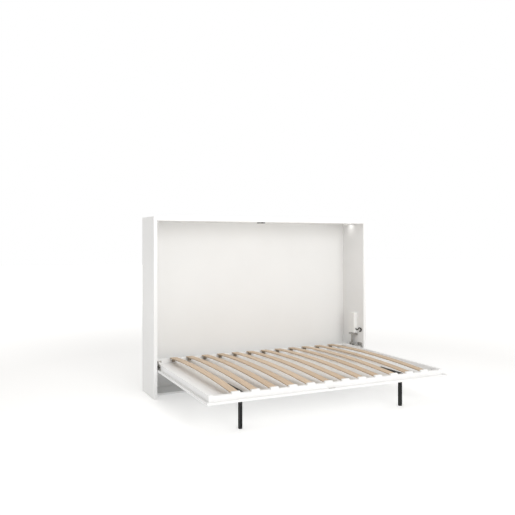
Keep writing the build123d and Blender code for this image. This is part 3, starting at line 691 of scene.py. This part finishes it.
LEG_HEAD_H = 2.0 * MM
LEG_SHANK_R = 2.5 * MM
for word in ("left", "right"):
    bolt_name = f"leg_bolts_{word}"
    spots = []
    for low, high in islands(bolt_name):
        centre = (low + high) / 2
        spots.append((Vector((centre.x, low.y + LEG_HEAD_H, centre.z)), (0.0, -1.0, 0.0)))
    low, high = islands(bolt_name)[0]
    heads(f"leg_bolt_heads_{word}", f"leg_{word}", bolt_name, spots,
          ((high.x - low.x) / 2, LEG_HEAD_H), (LEG_SHANK_R, high.y - low.y - LEG_HEAD_H), sides=16)

PANEL_HEAD_H = 2.0 * MM
PANEL_SHANK_R = 2.0 * MM
panel_spots = []
for low, high in islands("cabinet_screws"):
    way = -1.0 if low.x > 0 else 1.0
    seat_x = low.x + PANEL_HEAD_H if way < 0 else high.x - PANEL_HEAD_H
    seat = Vector((seat_x, (low.y + high.y) / 2, (low.z + high.z) / 2))
    panel_spots.append((seat, (way, 0.0, 0.0)))
low, high = islands("cabinet_screws")[0]
heads("panel_screws", "cabinet", "cabinet_screws", panel_spots,
      ((high.z - low.z) / 2, PANEL_HEAD_H), (PANEL_SHANK_R, high.x - low.x - PANEL_HEAD_H))


def upright_screws(node_name, name, body, head_height, shank_radius):
    """Screws driven down from above: heads up, shanks to the bottom of the CAD node."""
    spots = []
    for low, high in islands(node_name):
        centre = (low + high) / 2
        spots.append((Vector((centre.x, centre.y, high.z - head_height)), (0.0, 0.0, 1.0)))
    low, high = islands(node_name)[0]
    return heads(name, body, node_name, spots, ((high.x - low.x) / 2, head_height),
                 (shank_radius, high.z - low.z - head_height), sides=16)


upright_screws("top_screws", "top_panel_screws", "cabinet",
               head_height=7.0 * MM, shank_radius=3.5 * MM)
upright_screws("rail_screws", "rail_head_screws", "bed",
               head_height=4.0 * MM, shank_radius=2.5 * MM)


# ---- turned pieces: lights, glides ---------------------------------------------------------

def turned(name, profile, centres, body, slot, *cad_nodes, steps=48):
    """Turns a closed profile of (radius, height) about Z and repeats it at each centre."""
    form = bmesh.new()
    ring = [form.verts.new((radius, 0.0, height)) for radius, height in profile]
    seams = [form.edges.new((ring[i], ring[(i + 1) % len(ring)])) for i in range(len(ring))]
    bmesh.ops.spin(form, geom=ring + seams, axis=(0.0, 0.0, 1.0), cent=(0.0, 0.0, 0.0),
                   angle=2 * math.pi, steps=steps)
    bmesh.ops.remove_doubles(form, verts=form.verts, dist=1e-6)
    template = new_piece(name + "_template", form)
    piece = run_tree(name, copies_tree(), {"Template": template}, slot, centres)
    bpy.data.objects.remove(template)
    return place(piece, body, slot, *cad_nodes)


def footprints(node_name):
    """The middle of the underside of each solid of a CAD node, and the first solid's size."""
    pairs = islands(node_name)
    spots = [Vector(((low.x + high.x) / 2, (low.y + high.y) / 2, low.z)) for low, high in pairs]
    return spots, pairs[0][1] - pairs[0][0]


def light_profiles():
    """The bezel with its rolled lip, and the lens with a stepped face inside it."""
    _, bezel = footprints("light_housings")
    _, lens = footprints("light_lenses")
    outer = bezel.x / 2
    inner = lens.x / 2 + 0.1 * MM
    seat = 0.5 * MM + lens.z
    lip = 1.0 * MM
    housing = [
        (inner, seat), (inner, 0.6 * lip), (inner + 0.4 * lip, 0.0), (outer - 2.2 * lip, 0.0),
        (outer - 0.8 * lip, 0.4 * lip), (outer, 1.6 * lip), (outer, bezel.z), (0.2 * lip, bezel.z),
        (0.2 * lip, seat),
    ]
    radius = lens.x / 2
    cover = [
        (0.1 * lip, lens.z), (0.1 * lip, 0.0), (radius * 0.72, 0.0), (radius * 0.75, 0.35 * lip),
        (radius * 0.80, 0.35 * lip), (radius * 0.83, 0.0), (radius - 0.5 * lip, 0.0),
        (radius, 0.5 * lip), (radius, lens.z),
    ]
    return housing, cover


bezel_profile, lens_profile = light_profiles()
turned("light_bezels", bezel_profile, footprints("light_housings")[0], "cabinet",
       slot_of["light_housings"], "light_housings")
turned("light_covers", lens_profile, footprints("light_lenses")[0], "cabinet",
       slot_of["light_lenses"], "light_lenses")

glide_spots, glide_size = footprints("floor_glides")
glide_r = glide_size.x / 2
glide_profile = [
    (0.1 * MM, 0.0), (glide_r - 1.2 * MM, 0.0), (glide_r, 0.6 * MM), (glide_r, glide_size.z),
    (0.1 * MM, glide_size.z),
]
turned("felt_glides", glide_profile, glide_spots, "cabinet",
       slot_of["floor_glides"], "floor_glides", steps=24)


# ---- latch spring: a coil inside the housing -----------------------------------------------

def coil(name, low, high, wire, turns, body, slot, cad_node):
    """A wire wound along Y inside a box, with closed ends."""
    centre = (Vector(low) + Vector(high)) / 2
    radius = (high[2] - low[2]) / 2 - wire
    start, end = low[1] + wire, high[1] - wire
    steps = 18 * turns
    sides = 8
    form = bmesh.new()
    rings = []
    for step in range(steps + 1):
        share = step / steps
        angle = share * turns * 2 * math.pi
        out = Vector((math.cos(angle), 0.0, math.sin(angle)))
        spine = Vector((centre.x, start + share * (end - start), centre.z)) + radius * out
        ring = []
        for side in range(sides):
            turn = side * 2 * math.pi / sides
            offset = wire * (math.cos(turn) * out + math.sin(turn) * Vector((0.0, 1.0, 0.0)))
            ring.append(form.verts.new(spine + offset))
        rings.append(ring)
    for near, far in zip(rings, rings[1:]):
        for side in range(sides):
            after = (side + 1) % sides
            form.faces.new((near[side], near[after], far[after], far[side]))
    form.faces.new(rings[0])
    form.faces.new(rings[-1])
    return place(new_piece(name, form), body, slot, cad_node)


spring_low, spring_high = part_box("latch_spring")
coil("latch_coil", spring_low, spring_high, wire=0.35 * MM, turns=4, body="cabinet",
     slot=slot_of["latch_spring"], cad_node="latch_spring")


# ---- camera, floor and lights --------------------------------------------------------------

CAMERA_PLACE = (-2.457, -4.5355, 1.314)
CAMERA_YAW = -25.44
CAMERA_SENSOR = 36.0
CAMERA_LENS = 42.54
CAMERA_SHIFT = -0.0302


def add_camera():
    data = bpy.data.cameras.new("camera")
    data.sensor_width = CAMERA_SENSOR
    data.lens = CAMERA_LENS
    data.shift_y = CAMERA_SHIFT
    camera = bpy.data.objects.new("camera", data)
    camera.location = CAMERA_PLACE
    camera.rotation_euler = (math.radians(90), 0.0, math.radians(CAMERA_YAW))
    bpy.context.scene.collection.objects.link(camera)
    bpy.context.scene.camera = camera


def add_floor():
    """A pale floor that grows lighter with distance, so that it meets the backdrop softly."""
    form = bmesh.new()
    bmesh.ops.create_grid(form, x_segments=1, y_segments=1, size=30.0)
    floor = new_piece("floor", form)
    f = Finish("pale_floor", (0.93, 0.93, 0.925), 0.6)
    f.set("Emission Color", (1.0, 1.0, 1.0, 1.0))
    away = f.node("ShaderNodeVectorMath", operation="LENGTH")
    f.link(f.coords, away.inputs[0])
    glow = f.node("ShaderNodeMapRange", From_Min=3.0, From_Max=9.0, To_Min=0.27, To_Max=0.75)
    f.link(away.outputs["Value"], glow.inputs["Value"])
    f.link(glow.outputs["Result"], f.shader.inputs["Emission Strength"])
    f.bump(f.noise(0.5), 0.02, 0.001)
    floor.data.materials.append(f.material)


def area_light(name, place_at, target, size, power):
    """A round soft light aimed at a target."""
    data = bpy.data.lights.new(name, "AREA")
    data.shape = "DISK"
    data.size = size
    data.energy = power
    light = bpy.data.objects.new(name, data)
    light.location = place_at
    light.rotation_euler = (Vector(target) - Vector(place_at)).to_track_quat("-Z", "Y").to_euler()
    bpy.context.scene.collection.objects.link(light)


def add_lights():
    """A warm white studio whose backdrop is plain white to the camera, and two soft lights."""
    world = bpy.data.worlds.new("studio")
    world.use_nodes = True
    background = world.node_tree.nodes["Background"]
    background.inputs["Color"].default_value = (1.0, 0.985, 0.965, 1.0)
    background.inputs["Strength"].default_value = 0.62
    backdrop = world.node_tree.nodes.new("ShaderNodeBackground")
    seen = world.node_tree.nodes.new("ShaderNodeLightPath").outputs["Is Camera Ray"]
    either = world.node_tree.nodes.new("ShaderNodeMixShader")
    world.node_tree.links.new(seen, either.inputs[0])
    world.node_tree.links.new(background.outputs[0], either.inputs[1])
    world.node_tree.links.new(backdrop.outputs[0], either.inputs[2])
    world.node_tree.links.new(either.outputs[0], world.node_tree.nodes["World Output"].inputs[0])
    backdrop.inputs["Color"].default_value = (1.0, 1.0, 1.0, 1.0)
    bpy.context.scene.world = world
    bpy.context.scene.view_settings.view_transform = "Standard"
    area_light("key", place_at=(0.4, -10.0, 4.4), target=(0.0, 0.0, 0.6), size=6.0, power=345.0)
    area_light("overhead", place_at=(-0.3, -0.6, 3.2), target=(-0.1, -0.4, 0.3), size=3.0,
               power=27.0)


def add_lamp_beam():
    """The lit lens throws a soft cone down the right side panel."""
    low, high = islands("light_lenses")[-1]
    data = bpy.data.lights.new("lamp_beam", "SPOT")
    data.energy = 0.12
    data.spot_size = math.radians(130)
    data.spot_blend = 0.8
    data.shadow_soft_size = 0.02
    beam = bpy.data.objects.new("lamp_beam", data)
    beam.location = ((low.x + high.x) / 2, (low.y + high.y) / 2, low.z - 2 * MM)
    beam.rotation_euler = (0.0, math.radians(-62), 0.0)
    bpy.context.scene.collection.objects.link(beam)


add_camera()
add_floor()
add_lights()
add_lamp_beam()
